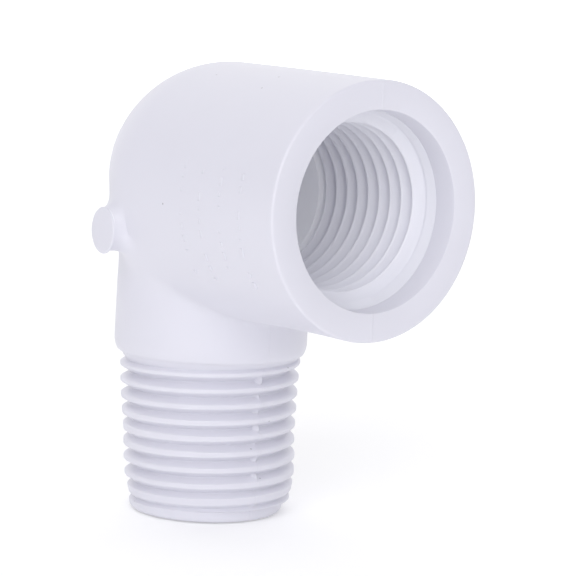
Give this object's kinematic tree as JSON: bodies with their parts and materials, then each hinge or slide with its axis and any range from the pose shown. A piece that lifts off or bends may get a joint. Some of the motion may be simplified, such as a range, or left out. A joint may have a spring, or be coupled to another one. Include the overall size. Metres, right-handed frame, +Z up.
{
  "type": "pvc elbow fitting",
  "caption": "White PVC right-angle street elbow with a tapered threaded socket on one end and a tapered threaded spigot on the other.",
  "frame": {"origin": "centre of the spigot's end face, on the spigot's axis", "axes": "+Z up the spigot's axis towards the bend, +X along the socket's axis and out of its mouth, -Y towards the gate stub"},
  "size_m": [0.0398, 0.0299, 0.0516],
  "materials": {
    "white_pvc": "moulded, semi-matt"
  },
  "bodies": {
    "root": {"threaded_socket": "white_pvc", "elbow_body": "white_pvc", "threaded_spigot": "white_pvc", "gate_stub": "white_pvc"}
  },
  "joints": []
}
